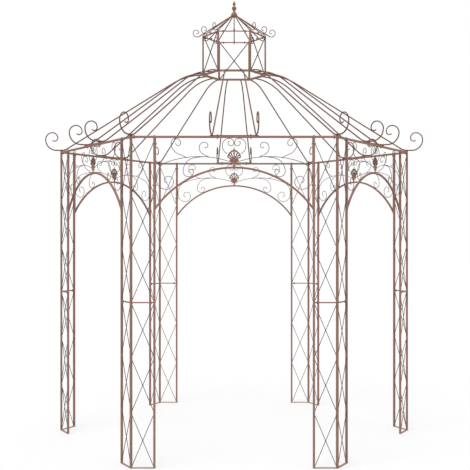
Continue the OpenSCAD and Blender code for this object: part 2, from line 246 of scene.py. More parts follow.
def after(p, step, part):
    """Point of a bent path that lies this part of a step beyond p."""
    size, turn = step
    if turn == 0:
        return slide(p, size * part)
    h, g = radians(p[2]), radians(p[2] + turn * part)
    r = copysign(size, turn)
    return (p[0] + r * (sin(g) - sin(h)), p[1] + r * (cos(h) - cos(g)), p[2] + turn * part)


def walk(start, steps, turn_step=6.0, longest=60 * MM):
    """Points of a bent rod: steps are (length, 0) for a straight or (radius, turn) for a bend."""
    points = [start]
    for step in steps:
        size, turn = step
        if turn == 0:
            count = max(1, round(size / longest))
        else:
            count = max(ceil(abs(turn) / turn_step), round(abs(radians(turn)) * size / longest))
        p = points[-1]
        points += [after(p, step, (k + 1) / count) for k in range(count)]
    return points


def turn_z(angle):
    return Matrix.Rotation(radians(angle), 4, "Z")


def shift_by(x, y, z):
    return Matrix.Translation((x, y, z))


def face_place(k):
    """Places a drawing (x along the side, y inwards, z up) on side k."""
    return turn_z(60 * (k - 1)) @ shift_by(0, -bpy.context.scene.pavilion_sizes.side * HEX, 0)


def corner_place(k):
    """Places a drawing on corner k, with x pointing outwards."""
    return turn_z(60 * (k - 1) - 120) @ shift_by(bpy.context.scene.pavilion_sizes.side, 0, 0)


# turn the axis of an upright fitting: out of the drawing, or along its x
FACING = Matrix.Rotation(pi / 2, 4, "X")
ALONG = Matrix.Rotation(pi / 2, 4, "Y")
BOTH_WAYS = (Matrix.Identity(4), Matrix.Diagonal((-1, 1, 1, 1)))


def new_object(name, data):
    thing = bpy.data.objects.new(name, data)
    bpy.context.scene.collection.objects.link(thing)
    return thing


def make_piece(name, shape, material, slot, *nodes, sharp=35.0):
    """Turns a shape into an object that rides on the frame and stands for the given nodes."""
    mesh = bpy.data.meshes.new(name)
    mesh.from_pydata([tuple(v) for v in shape.verts], [], shape.faces)
    bm = bmesh.new()
    bm.from_mesh(mesh)
    bmesh.ops.recalc_face_normals(bm, faces=bm.faces)
    limit = radians(sharp)
    for edge in bm.edges:
        edge.smooth = len(edge.link_faces) == 2 and edge.calc_face_angle(0.0) < limit
    for face in bm.faces:
        face.smooth = True
    bm.to_mesh(mesh)
    bm.free()
    mesh.materials.append(bpy.data.materials[material])
    piece = new_object(name, mesh)
    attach(piece, "root")
    if nodes:
        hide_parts(*nodes)


# ---------------- small fittings


def weld_blob(shape, place, point, wide, thick, seed, sides=9, turn=FACING):
    """A small uneven weld bead at a point of the place."""
    rng = np.random.default_rng(seed)
    wobble = 1 + 0.14 * rng.standard_normal(sides).clip(-1.5, 1.5)
    section = round_section(wide, sides) * wobble[:, None]
    spot = place @ shift_by(*point) @ turn
    profile = ((0.35, -1.0), (0.8, -0.72), (1.0, 0.0), (0.8, 0.72), (0.35, 1.0))
    shape.loft([level_ring(section * r, z * thick / 2, spot) for r, z in profile])


def weld_collar(shape, p, place, d, seed):
    """A thin uneven fillet round the end of a rod that meets another piece; p's heading points into the rod."""
    rng = np.random.default_rng(seed)
    base = round_section(d)
    wobble = (1 + 0.10 * rng.standard_normal(len(base))).clip(0.85, 1.2)[:, None]
    rings = ((-0.2, 1.30, wobble), (0.12, 1.26, wobble), (0.42, 1.02, 1.0))
    shape.loft([ring_at(slide(p, by * d), base * wide * uneven, place) for by, wide, uneven in rings])


def hex_head(shape, place, across, high, from_z):
    """Hexagon head or nut with a chamfer, standing along the place's z."""
    circle = round_section(2.0, 24)
    a = np.linspace(0, 2 * pi, len(circle), endpoint=False)
    flat = across / 2 / np.cos(a % (pi / 3) - pi / 6)
    levels = ((0.97, 0.52, 0.0), (1.0, 0.60, 0.10), (1.0, 0.60, 0.72), (0.94, 0.52, 0.92), (0.80, 0.42, 1.0))
    rings = []
    for scale, limit, z in levels:
        r = np.minimum(flat * scale, across * limit * 1.02)
        rings.append(level_ring(circle * r[:, None], from_z + z * high, place))
    shape.loft(rings)


def bolt(shape, place, grip, nut=True):
    """Bolt through a grip that ends at the place's origin: head above it, washer, and nut and thread below."""
    d, washer = 6 * MM, 1.1 * MM
    across = 1.65 * d
    rim = [(1.02 * d, 0.0), (1.08 * d, 0.15 * MM), (1.08 * d, 0.95 * MM), (d, washer)]
    shape.turned(rim, place, 24)
    hex_head(shape, place, across, 0.62 * d, washer)
    if nut:
        below = place @ shift_by(0, 0, -grip) @ Matrix.Rotation(pi, 4, "X")
        hex_head(shape, below, across, 0.75 * d, 0.0)
        shape.turned([(0.5 * d, 0.0), (0.5 * d, 1.05 * d), (0.42 * d, 1.15 * d)], below, 16)


def upright(shape, place, width, corner, z0, z1, capped=False):
    """Upright of square tube; a capped one has a low cap set into its top."""
    section = tube_section(width, corner)
    top = z1 - (1.6 * MM if capped else 0)
    levels = [(0.97, z0), (1, z0 + 0.3 * MM), (1, top - 0.3 * MM), (0.97, top)]
    if capped:
        levels += [(0.90, top), (0.90, top + 0.5 * MM), (0.62, z1 - 0.2 * MM), (0.3, z1)]
    shape.loft([level_ring(section * scale, z, place) for scale, z in levels])


# ---------------- finishes


def as_value(value):
    """What a socket holds for a number or for a colour without its alpha."""
    return (*value, 1.0) if isinstance(value, tuple) else value


def new_group(name, inputs, outputs):
    """Starts a shared node group from its inputs' usual values and its outputs' names."""
    group = bpy.data.node_groups.new(name, "ShaderNodeTree")
    for label, value in inputs.items():
        kind = "NodeSocketColor" if isinstance(value, tuple) else "NodeSocketFloat"
        group.interface.new_socket(label, in_out="INPUT", socket_type=kind).default_value = as_value(value)
    for label in outputs:
        kind = "NodeSocketColor" if label == "Color" else "NodeSocketFloat"
        group.interface.new_socket(label, in_out="OUTPUT", socket_type=kind)
    return group, group.nodes.new("NodeGroupInput").outputs, group.nodes.new("NodeGroupOutput")


def feed(tree, node, inputs):
    """Gives a node's inputs, by name or number, an output to link or a value."""
    for key, value in inputs.items():
        if isinstance(value, bpy.types.NodeSocket):
            tree.links.new(value, node.inputs[key])
        else:
            node.inputs[key].default_value = as_value(value)


def add(tree, kind, inputs=None, **settings):
    """Adds a shader node with these settings and inputs."""
    node = tree.nodes.new("ShaderNode" + kind)
    for key, value in settings.items():
        setattr(node, key, value)
    feed(tree, node, inputs or {})
    return node


def calc(tree, operation, a, b, clamp=False):
    return add(tree, "Math", {0: a, 1: b}, operation=operation, use_clamp=clamp).outputs[0]


def times(tree, a, b, clamp=False):
    return calc(tree, "MULTIPLY", a, b, clamp)


def plus(tree, a, b):
    return calc(tree, "ADD", a, b)


def blend_colour(tree, mask, a, b):
    return add(tree, "Mix", {0: mask, 6: a, 7: b}, data_type="RGBA").outputs[2]


def remap(tree, value, lo, hi, to_lo=0.0, to_hi=1.0, kind="SMOOTHSTEP"):
    """Value between lo and hi, mapped to the range from to_lo to to_hi."""
    ends = {"Value": value, "From Min": lo, "From Max": hi, "To Min": to_lo, "To Max": to_hi}
    return add(tree, "MapRange", ends, interpolation_type=kind).outputs[0]


def cloud(tree, scale, detail, rough):
    """Noise in the object's own coordinates."""
    point = add(tree, "TexCoord").outputs["Object"]
    noise = {"Vector": point, "Scale": scale, "Detail": detail, "Roughness": rough}
    return add(tree, "TexNoise", noise).outputs["Fac"]


COAT_INPUTS = ("Brown", "Copper", "Patch Scale", "Patches", "Speckle Scale")


def antique_coat_group():
    """Brown coat with reddish patches and fine speckle."""
    usual = dict(zip(COAT_INPUTS, ((0.17, 0.12, 0.10), (0.25, 0.13, 0.10), 3.0, 0.6, 420.0)))
    group, given, result = new_group("Antique Coat", usual, ("Color", "Roughness", "Height"))
    patch = remap(group, cloud(group, given["Patch Scale"], 5.0, 0.6), 0.42, 0.66)
    streak = remap(group, cloud(group, 46.0, 4.0, 0.65), 0.40, 0.72)
    speckle = cloud(group, given["Speckle Scale"], 3.0, 0.7)
    peel = cloud(group, 900.0, 2.0, 0.5)
    mask = times(group, patch, given["Patches"], True)
    streaked = plus(group, times(group, streak, 0.35), 0.65)
    mask = times(group, mask, streaked, True)
    colour = blend_colour(group, mask, given["Brown"], given["Copper"])
    shade = remap(group, speckle, 0.3, 0.7, 0.84, 1.14, "LINEAR")
    dappled = add(group, "VectorMath", {0: colour, "Scale": shade}, operation="SCALE").outputs[0]
    rough = plus(group, plus(group, times(group, streak, 0.16), 0.50), times(group, speckle, 0.10))
    height = plus(group, peel, times(group, speckle, 0.5))
    feed(group, result, {"Color": dappled, "Roughness": rough, "Height": height})
    return group


def broken_mask(group, given, result, mask, scale, lo, hi):
    """Ends a mask group: its mask broken up by noise, times its amount."""
    broken = remap(group, cloud(group, scale, 6.0, 0.7), lo, hi)
    mask = times(group, times(group, mask, broken), given["Amount"], True)
    feed(group, result, {"Mask": mask})
    return group


def edge_rub_group():
    """Mask of rubbed edges, from the surface's own sharpness."""
    group, given, result = new_group("Edge Rub", {"Amount": 0.5, "From": 0.53, "To": 0.60}, ("Mask",))
    sharp = add(group, "NewGeometry").outputs["Pointiness"]
    edge = remap(group, sharp, given["From"], given["To"])
    return broken_mask(group, given, result, edge, 60.0, 0.36, 0.62)


def ground_dust_group():
    """Mask of pale dust that settles near the feet."""
    group, given, result = new_group("Ground Dust", {"Height": 0.12, "Amount": 0.5}, ("Mask",))
    point = add(group, "TexCoord").outputs["Object"]
    height = add(group, "SeparateXYZ", {0: point}).outputs["Z"]
    low = calc(group, "SUBTRACT", 1.0, calc(group, "DIVIDE", height, given["Height"]), True)
    return broken_mask(group, given, result, times(group, low, low), 34.0, 0.38, 0.70)


DUST = (0.42, 0.37, 0.32)
# range of the surface's sharpness over which an edge is rubbed
TUBE_EDGES, ROD_EDGES, CAST_EDGES, FAN_EDGES = (0.53, 0.60), (0.54, 0.62), (0.51, 0.57), (0.52, 0.58)


def new_material(name):
    material = bpy.data.materials.new(name)
    material.use_nodes = True
    return material, material.node_tree, material.node_tree.nodes["Principled BSDF"]


def coat_material(name, groups, brown, copper, patch_scale, speckle_scale, rub, bump, edge_range):
    """Coat on iron: patches, rubbed edges, dust near the floor and a fine uneven skin."""
    finish = bpy.context.scene.pavilion_finish
    coat, edges, dust = groups
    _, tree, shader = new_material(name)
    paint = dict(zip(COAT_INPUTS, (tuple(brown), tuple(copper), patch_scale, finish.patches, speckle_scale)))
    skin = add(tree, "Group", paint, node_tree=coat).outputs
    wear = {"Amount": finish.rub * rub, "From": edge_range[0], "To": edge_range[1]}
    rubbed = add(tree, "Group", wear, node_tree=edges).outputs["Mask"]
    settled = add(tree, "Group", {"Height": 0.14, "Amount": 0.35}, node_tree=dust).outputs["Mask"]
    colour = blend_colour(tree, rubbed, skin["Color"], tuple(finish.edge_copper))
    dimple = add(tree, "Bump", {"Strength": bump, "Distance": 0.6 * MM, "Height": skin["Height"]})
    looks = {
        "Base Color": blend_colour(tree, settled, colour, DUST),
        "Roughness": calc(tree, "SUBTRACT", skin["Roughness"], times(tree, rubbed, 0.18), True),
        "Metallic": times(tree, rubbed, 0.5),
        "Specular IOR Level": 0.22,
        "Normal": dimple.outputs["Normal"],
    }
    feed(tree, shader, looks)


class PAVILION_OT_finishes(bpy.types.Operator):
    """Make the coats for tubes, rods, castings, welds and bolts"""

    bl_idname = "pavilion.finishes"
    bl_label = "Finishes"

    def execute(self, context):
        f = context.scene.pavilion_finish
        groups = (antique_coat_group(), edge_rub_group(), ground_dust_group())
        # name, two colours, scale of the patches and of the speckle, share of the rub, bump and edge range
        coats = (
            ("Coated Tube", f.tube_brown, f.tube_copper, 2.6, 420.0, 1.0, 0.22, TUBE_EDGES),
            ("Coated Rod", f.rod_brown, f.rod_copper, 4.5, 520.0, 0.5, 0.18, ROD_EDGES),
            ("Coated Vine", f.vine_brown, f.vine_copper, 6.0, 520.0, 0.5, 0.18, ROD_EDGES),
            # the castings' own colours, set lighter as painted highlight
            ("Coated Casting", f.casting_brown_and_highlight, f.casting_copper_and_highlight, 38.0, 640.0, 1.0, 0.38, CAST_EDGES),
            # painted shade: a darker copy of the casting coat for the shells' fans
            ("Darkened Casting", f.fan_painted_shade, f.casting_brown_and_highlight, 52.0, 640.0, 0.7, 0.38, FAN_EDGES),
            ("Dark Steel Rod", f.steel_dark, f.steel_brown, 3.0, 520.0, 0.3, 0.18, ROD_EDGES),
            ("Coated Weld", f.rod_brown, f.tube_brown, 60.0, 900.0, 0.6, 0.5, TUBE_EDGES),
            ("Blackened Bolt", f.bolt_dark, f.rod_brown, 50.0, 800.0, 1.0, 0.2, TUBE_EDGES),
        )
        for name, *coat in coats:
            coat_material(name, groups, *coat)
        for node in ("lantern_ring", "lantern_eave"):
            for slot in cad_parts[node].material_slots:
                slot.material = bpy.data.materials["Coated Tube"]
        return {"FINISHED"}


# ---------------- legs


# how far the middle of a crossed rod lies from the plane of the cross, in its thicknesses
CROSS_APART = 0.46


def leg_half(k, z0, z1, bar0, bar1, cross_top, tubes, rods, welds):
    """Three uprights, the crossed rods of the two wings and their flat end bars."""
    s = bpy.context.scene.pavilion_sizes
    place = corner_place(k)
    upright(tubes, place, s.tube, s.tube_corner, z0, z1)
    pitch = (cross_top - z0) / s.crosses
    slope = pitch / s.leg_width
    rod = round_section(s.brace, 10)
    half = s.tube / 2
    x0, x1 = half - MM, s.leg_width - half + MM
    for wing, turn in enumerate((-120, 120)):
        out = place @ turn_z(turn)
        upright(tubes, out @ shift_by(s.leg_width, 0, 0), s.tube, s.tube_corner, z0, z1)
        tubes.block((x0, -half, z0), (x1, half, z0 + bar0), out)
        if bar1:
            tubes.block((x0, -half, z1 - bar1), (x1, half, z1), out)
        for i in range(s.crosses):
            foot, head = z0 + i * pitch, z0 + (i + 1) * pitch
            for way, from_z in ((1, foot), (-1, head)):
                side_place = out @ shift_by(0, -way * CROSS_APART * s.brace, 0)
                heading = way * degrees(atan(slope))
                path = [
                    (x, min(max(from_z + way * slope * x, z0 + bar0), z1 - bar1), heading)
                    for x in (x0, (x0 + x1) / 2, x1)
                ]
                rods.sweep(path, rod, side_place)
                seed = k * 100 + wing * 40 + i * 6 + (way > 0) + int(z0 * 10)
                weld_collar(welds, path[0], side_place, s.brace, seed)
                weld_collar(welds, turned_back(path[-1]), side_place, s.brace, seed + 3)
            middle = (s.leg_width / 2, 0, (foot + head) / 2)
            weld_blob(welds, out, middle, 1.9 * s.brace, 1.5 * s.brace, k * 50 + wing * 20 + i)
        for x in (half, s.leg_width - half):
            for z in (z0 + bar0, z1 - bar1) if bar1 else (z0 + bar0,):
                seed = k * 70 + wing * 9 + int(z * 50)
                weld_blob(welds, out, (x, 0, z), 3.6 * MM, s.tube * 0.86, seed, sides=7)


class PAVILION_OT_legs(bpy.types.Operator):
    """Build the six lattice legs, each in two halves"""

    bl_idname = "pavilion.legs"
    bl_label = "Legs"

    def execute(self, context):
        s = context.scene.pavilion_sizes
        leg_top = s.beam_top - s.tube
        halves = (
            ("lower", 0.0, s.split, s.foot_bar, s.joint_bar, s.split),
            ("upper", s.split, leg_top, s.joint_bar, 0.0, leg_top - s.cross_gap),
        )
        welds = Shape()
        for k in SIDES:
            for half, *heights in halves:
                tubes, rods = Shape(), Shape()
                leg_half(k, *heights, tubes, rods, welds)
                make_piece(f"leg_{k}_{half}_tubes", tubes, "Coated Tube", "frame_tube", f"leg_{k}_{half}")
                make_piece(f"leg_{k}_{half}_rods", rods, "Dark Steel Rod", "rod")
        make_piece("leg_welds", welds, "Coated Weld", "frame_tube", sharp=60)
        return {"FINISHED"}


# ---------------- sides


def arch_sizes(s):
    """Half span between the end bars, height of the crown's middle line and radius of the arch."""
    half_span = s.side / 2 - s.leg_width - s.tube / 2 - s.end_bar
    crown = s.beam_top - s.tube - s.crown_drop - s.arch_tube / 2
    radius = (half_span**2 + s.arch_rise**2) / (2 * s.arch_rise)
    return half_span, crown, radius


def add_beam(shape, s, place):
    """Eave beam of a side, mitred at both corners."""
    beam = tube_section(s.tube, s.tube_corner)
    ease = 0.4 * MM
    rings = []
    for end, inset, scale in ((-1, 0.0, 0.96), (-1, ease, 1.0), (1, ease, 1.0), (1, 0.0, 0.96)):
        z, y = beam.T * scale
        x = end * (s.side / 2 - inset - y * tan(radians(30)))
        rings.append(put(np.column_stack([x, y, s.beam_top - s.tube / 2 + z]), place))
    shape.loft(rings)


def add_arch(shape, s, place):
    """Arched tube of a side, whose ends are cut upright where they meet the end bars."""
    half_span, crown, radius = arch_sizes(s)
    steps = 56
    bow = tube_section(s.arch_tube, s.tube_corner)
    half_turn = degrees(asin(half_span / radius))
    rings = []
    for i in (0, *range(2, steps - 1), steps):
        a = radians(half_turn * (2 * i / steps - 1))
        p = (radius * sin(a), crown - radius + radius * cos(a), -degrees(a))
        ring = ring_at(p, bow, Matrix.Identity(4))
        if i in (0, steps):
            wall = copysign(half_span + 0.5 * MM, p[0])
            ring = ring + (wall - ring[:, :1]) * (1, 0, -tan(a))
        rings.append(put(ring, place))
    shape.loft(rings)


class PAVILION_OT_sides(bpy.types.Operator):
    """Build the six eave beams with their arches and end bars"""

    bl_idname = "pavilion.sides"
    bl_label = "Beams and Arches"

    def execute(self, context):
        s = context.scene.pavilion_sizes
        half_span, crown, _ = arch_sizes(s)
        leg_top = s.beam_top - s.tube
        half = s.tube / 2
        spring = crown - s.arch_rise
        welds = Shape()
        for k in SIDES:
            shape, place = Shape(), face_place(k)
            add_beam(shape, s, place)
            add_arch(shape, s, place)
            for way in BOTH_WAYS:
                side_place = place @ way
                foot, head = (half_span, -half, spring - s.end_tail), (half_span + s.end_bar, half, leg_top)
                shape.block(foot, head, side_place)
                joint, top = (half_span, 0, spring + 4 * MM), (half_span, 0, leg_top - 0.8 * MM)
                weld_blob(welds, side_place, joint, 7 * MM, s.arch_tube * 0.9, k * 11)
                weld_blob(welds, side_place, top, 4 * MM, s.tube * 0.8, k * 13, sides=7)
            make_piece(f"arch_{k}_tubes", shape, "Coated Tube", "frame_tube", f"arch_{k}", sharp=40)
        make_piece("side_welds", welds, "Coated Weld", "frame_tube", sharp=60)
        return {"FINISHED"}


# ---------------- scrollwork


SHELL_HIGH, SHELL_WIDE, SHELL_DROP, SHELL_HINGE = 94 * MM, 96 * MM, 182 * MM, 19 * MM
# where the spike on a shell starts below the top of its fan, and how high it is
SPIKE_SUNK, SPIKE_HIGH = 4 * MM, 26 * MM


def vine_paths(s):
    """Bent paths of one half of a side's scrollwork, the places where its branches are welded, its start on the
    shell and the height of the bead over the shell."""
    half_span, _, _ = arch_sizes(s)
    leg_top = s.beam_top - s.tube
    seat = 0.2 * MM
    ceiling = leg_top - seat - s.vine / 2
    mm = lambda steps: [(size * MM, bend) for size, bend in steps]

    # the stem sets out from the shell at start_h, bends down by turn and hooks up beside the end bar
    start_x, start_z, start_h, turn = SHELL_WIDE * 0.34, leg_top - SHELL_DROP + 11 * MM, 18.5, 38.0
    hook_r, hook_turn = 115 * MM, 90 + start_h - turn
    away = radians(turn - start_h)
    room = half_span - s.vine / 2 - seat - start_x - hook_r * (1 - sin(away))
    stem_r = room / (sin(radians(start_h)) + sin(away))
    start = (start_x, start_z, start_h)
    near, drop, far = (after(start, (stem_r, -turn), part) for part in (0.33, 0.42, 0.685))
    curl = mm([(20, 0), (70, -90), (55, -90), (40, -90), (28, -90), (20, -90)])

    # the far branch loops under the beam, and the heart stands over the shell
    far_h, far_bend, far_loop = 23.0, 85 * MM, 34.5 * MM
    far_rise = ceiling - far_loop - far_bend * cos(radians(far_h)) - far[1]
    far_run = far_rise / sin(radians(far_h))
    heart_x, heart_z, heart_h = 46.5 * MM, leg_top - 116 * MM, 22.0
    heart_side, heart_top = 62.5 * MM, 50 * MM
    heart_run = ceiling - heart_top - heart_side * cos(radians(heart_h)) - heart_z
    heart = [(heart_side, 90 - heart_h), (heart_run, 0), (heart_top, 90)] + mm([(33, 90), (21, 180), (13, 90)])
    paths = [
        walk(start, [(stem_r, -turn), (hook_r, -hook_turn)] + curl),
        walk((near[0], near[1], 25.0), mm([(43, 0), (57, 65), (38, 90), (25, 90), (15, 90), (12, 60)])),
        walk((drop[0], drop[1], -7.0), mm([(60, 0), (100, -83), (40, -90), (35, -90), (18, -90), (16, -110)])),
        walk((far[0], far[1], far_h), [(far_run, 0), (far_bend, 90 - far_h), (far_loop, 180), (18 * MM, 180)]),
        walk((heart_x, heart_z, heart_h), heart),
    ]
    return paths, (near, drop, far), start, ceiling - 33 * MM


class PAVILION_OT_scrollwork(bpy.types.Operator):
    """Build the bent rods between arch and beam, with the heart over each shell"""

    bl_idname = "pavilion.scrollwork"
    bl_label = "Scrollwork"

    def execute(self, context):
        s = context.scene.pavilion_sizes
        paths, roots, start, bead_z = vine_paths(s)
        rod = round_section(s.vine)
        spike_top = s.beam_top - s.tube - SHELL_DROP + SHELL_HIGH - SPIKE_SUNK + SPIKE_HIGH
        half_bead = [(0.6, 9.5), (2.2, 8.6), (3.9, 6.4), (4.9, 3.0)]
        bead = [(r, -z) for r, z in half_bead] + [(5.1, 0.0)] + half_bead[::-1]
        link_r, link_high = 1.25 * MM, bead_z - 8 * MM - spike_top
        welds = Shape()
        for k in SIDES:
            shape = Shape()
            for way in BOTH_WAYS:
                place = face_place(k) @ way
                for path in paths:
                    shape.sweep(path, rod, place, end_scale=0.72)
                for i, (x, z, _) in enumerate(roots):
                    root = (x + 5 * MM, 0, z)
                    weld_blob(welds, place, root, 1.7 * s.vine, 1.12 * s.vine, k * 31 + i, sides=10)
                weld_blob(welds, place, (start[0], 0, start[1]), 1.6 * s.vine, 1.2 * s.vine, k * 17, sides=10)
            place = face_place(k)
            shape.turned([(r * MM, z * MM) for r, z in bead], place @ shift_by(0, 0, bead_z), 20)
            shape.turned([(link_r, 0.0), (link_r, link_high)], place @ shift_by(0, 0, spike_top), 12)
            make_piece(f"scrollwork_{k}_rods", shape, "Coated Vine", "rod", f"scrollwork_{k}")
        make_piece("scrollwork_welds", welds, "Coated Weld", "rod", sharp=60)
        return {"FINISHED"}


# ---------------- shells


def oval(wide, deep, face=4.0):
    """Section of a casting: an ellipse in millimetres, cut off at two faces this far from the middle. Bars that
    cross have faces at different depths, so that no two lie in one plane."""
    section = round_section(2.0, 14) * (wide / 2 * MM, deep / 2 * MM)
    section[:, 1] = np.clip(section[:, 1], -face * MM, face * MM)
    return section


def bar_along(shape, points, sizes, place, face):
    """A cast bar through drawn points (x, z), with a (width, depth) in millimetres at each."""
    points = np.array(points, float)
    steps = np.gradient(points, axis=0)
    headings = np.degrees(np.unwrap(np.arctan2(steps[:, 1], steps[:, 0])))
    path = zip(points, headings, sizes)
    shape.loft([ring_at((x, z, h), oval(*size, face), place) for (x, z), h, size in path])


def upright_loft(shape, place, widths, depth, from_z):
    """A cast plate that stands upright: a (width, height) in millimetres for each of its sections."""
    shape.loft([level_ring(oval(wide, min(wide, depth)), from_z + high * MM, place) for wide, high in widths])


def shell_fan(shape, place, base_z):
    """Fan of a scallop shell: ribs that spread from a hinge, the scalloped rim round them and a spike on top.
    Rib tips and the rim's bumps are given as (lean from upright in degrees, distance in millimetres)."""
    hinge = base_z + SHELL_HINGE

    def fan(lean, r):
        return (r * MM * sin(radians(lean)), hinge + r * MM * cos(radians(lean)))

    tips = ((0.0, 69.6), (23.5, 63.8), (43.0, 56.6), (63.0, 49.6))
    bumps = ((12.4, 70.2), (33.4, 62.6), (53.0, 55.2))
    rib = [(2.8, 8.0), (5.0, 8.4), (7.2, 8.6), (8.4, 8.6), (9.6, 8.2), (8.4, 6.6), (3.0, 3.0)]
    arm_line = ((1.2, 40), (2.9, 50), (5.2, 59), (7.0, 67), (7.0, 70))
    arm = [(4.0, 6.0), (6.0, 8.0), (6.6, 8.2), (6.2, 7.0), (2.4, 3.0)]
    centre = [(2.8, 8.0), (5.2, 8.6), (7.4, 8.8), (9.4, 8.6), (9.0, 7.6), (4.0, 3.6)]
    arc_steps = 13
    for side in (-1, 1):
        for i, (lean, reach) in enumerate(tips[1:]):
            line = [fan(side * lean, r) for r in (4, 14, 26, 36, 0.84 * reach, reach, reach + 2.6)]
            bar_along(shape, line, rib, place, 3.6 - 0.08 * i)
        bar_along(shape, [fan(side * lean, r) for lean, r in arm_line], arm, place, 3.3 + 0.02 * side)
        for i, corners in enumerate(zip(tips, bumps, tips[1:])):
            p0, p1, p2 = (np.array(fan(side * lean, r)) for lean, r in corners)
            middle = 2 * p1 - (p0 + p2) / 2
            parts = np.linspace(-0.04, 1.04, arc_steps)
            arc = [(1 - t) ** 2 * p0 + 2 * t * (1 - t) * middle + t**2 * p2 for t in parts]
            wide = 8.2 + (1.6 if i else 2.6) * np.sin(np.linspace(0, pi, arc_steps))
            bar_along(shape, arc, [(w, w + 1.6) for w in wide], place, 4.0 if i == 1 else 3.8 + 0.05 * side)
    bar_along(shape, [fan(0, r) for r in (4, 16, 30, 42, 48, 52)], centre, place, 3.7)
    spike = zip((8.0, 13.0, 14.0, 11.5, 8.6, 6.8, 5.4, 4.0, 2.6, 1.2), (-6, -4, 0, 4, 8, 12, 16, 20, 24, 27))
    upright_loft(shape, place, spike, 8.0, base_z + SHELL_HIGH - SPIKE_SUNK)


def shell_body(shape, place, base_z, crown_top):
    """Body of a shell: the fluted hub, the plate and curled petals beside it, and the neck down to the arch."""
    hub_z, half_wide, half_high, half_deep = base_z + SHELL_HINGE + 11.5 * MM, 19 * MM, 18.5 * MM, 3.9 * MM
    around = np.linspace(0, 2 * pi, 36, endpoint=False)
    flutes = 1 + 0.035 * np.cos(9 * around)
    dome = [(0.15, 1.0), (0.55, 0.97), (0.82, 0.80), (0.96, 0.48)]
    hub = []
    for r, y in dome + [(1.0, 0.0)] + [(r, -y) for r, y in dome[::-1]]:
        x, z = half_wide * r * flutes * np.cos(around), hub_z + half_high * r * flutes * np.sin(around)
        hub.append(put(np.column_stack([x, np.full(len(x), y * half_deep), z]), place))
    shape.loft(hub)

    leaf = walk((2 * MM, base_z - 4 * MM, 37.0), [(29 * MM, 0), (6.2 * MM, 150), (3.4 * MM, 140)], 13)
    leaf_sizes = [(9.0 + 3.4 * sin(pi * t**0.8), 8.6 - 0.8 * t) for t in np.linspace(0, 1, len(leaf))]
    low = walk((1 * MM, base_z + 4 * MM, -4.0), [(40 * MM, -34), (3.2 * MM, -100)], 11)
    low_sizes = [(8.6 - 3.0 * t, 7.4 - 1.6 * t) for t in np.linspace(0, 1, len(low))]
    for tuck, way in zip((0.0, 0.05), BOTH_WAYS):
        for path, sizes, face in ((leaf, leaf_sizes, 3.85 - tuck), (low, low_sizes, 3.7 - tuck)):
            shape.loft([ring_at(p, oval(*size, face), place @ way) for p, size in zip(path, sizes)])
    foot = (crown_top - base_z) / MM
    heights = (foot - 0.4, foot + 2, foot + 7, -12, -6, 0, 7, 16, 22)
    neck = zip((13.0, 15.0, 13.2, 13.4, 15.6, 21.0, 25.0, 24.0, 12.0), heights)
    upright_loft(shape, place, neck, 8.6, base_z)
    plate = zip((12.6, 14, 20, 29, 37, 42, 43, 42, 39, 33, 20), (-10, -4, 1, 6, 11, 16, 20, 25, 31, 39, 47))
    upright_loft(shape, place, plate, 5.0, base_z)


class PAVILION_OT_shells(bpy.types.Operator):
    """Build the six cast shells on the arch crowns"""

    bl_idname = "pavilion.shells"
    bl_label = "Shells"

    def execute(self, context):
        s = context.scene.pavilion_sizes
        _, crown, _ = arch_sizes(s)
        base_z = s.beam_top - s.tube - SHELL_DROP
        for k in SIDES:
            fan, body = Shape(), Shape()
            shell_fan(fan, face_place(k), base_z)
            shell_body(body, face_place(k), base_z, crown + s.arch_tube / 2)
            nodes = ["shells"] if k == 1 else []
            # the fan takes the darker casting coat as painted shade, the body the lighter one
            make_piece(f"shell_{k}_fan", fan, "Darkened Casting", "casting", sharp=50)
            # painted highlight: the body takes the lighter casting coat
            make_piece(f"shell_{k}_body", body, "Coated Casting", "casting", *nodes, sharp=50)
        return {"FINISHED"}


# ---------------- roof


FOOT_BEND, TOP_BEND, FOOT_RUN, SCROLL = 103 * MM, 480 * MM, 42 * MM, 94 * MM
# distance between the two ribs of a pair, at the beam and at the ring
PAIR_FOOT, PAIR_TOP = 324 * MM, 112 * MM


def scroll_steps(r):
    return [(r, 90), (r * 0.63, 90), (r * 0.49, 90), (r * 0.29, 90), (r * 0.2, 60)]


def drawn_down(path, eye, pace):
    """Scale of a rod that is drawn down over its scroll, to this share of its thickness at the eye; a high pace
    draws most of it down close to its foot."""
    x, z, _ = np.array(path).T
    along = np.concatenate([[0], np.cumsum(np.hypot(np.diff(x), np.diff(z)))])
    foot = along[np.argmin(np.abs(x))]
    return np.where(along < foot, eye + (1 - eye) * (along / foot) ** pace, 1.0)


def other_way(path):
    """The same bends on the other side of x = 0, run towards it; the point at x = 0 itself is left out."""
    return [(-x, z, -h) for x, z, h in path[:0:-1]]


def rib_path(s, run):
    """Whole path of a roof rib, from the eye of its scroll to the ring, with the beam at x = 0."""
    lift = s.tie_bar + s.rib / 2
    rise = s.ring_top - s.tube / 2 - s.beam_top - lift
    bends = FOOT_BEND + TOP_BEND
    slope = asin(bends / hypot(run, bends - rise)) - atan2(bends - rise, run)
    straight = (run - bends * sin(slope)) / cos(slope)
    turn = degrees(slope)
    inner = walk((0.0, lift, 0.0), [(FOOT_BEND, turn), (straight, 0), (TOP_BEND, -turn)], 3.0, 80 * MM)
    outer = walk((0.0, lift, 0.0), [(FOOT_RUN, 0)] + scroll_steps(SCROLL), 5.0, 80 * MM)
    return other_way(outer) + inner


def add_rib(shape, welds, s, run, into, place, seed):
    """A roof rib that goes this far into the ring, with the weld that holds it there."""
    path = rib_path(s, run)
    path.append(slide(path[-1], into))
    shape.sweep(path, round_section(s.rib, 16), place, slim=drawn_down(path, 0.80, 1.4))
    weld_collar(welds, turned_back(path[-1]), place, s.rib, seed)


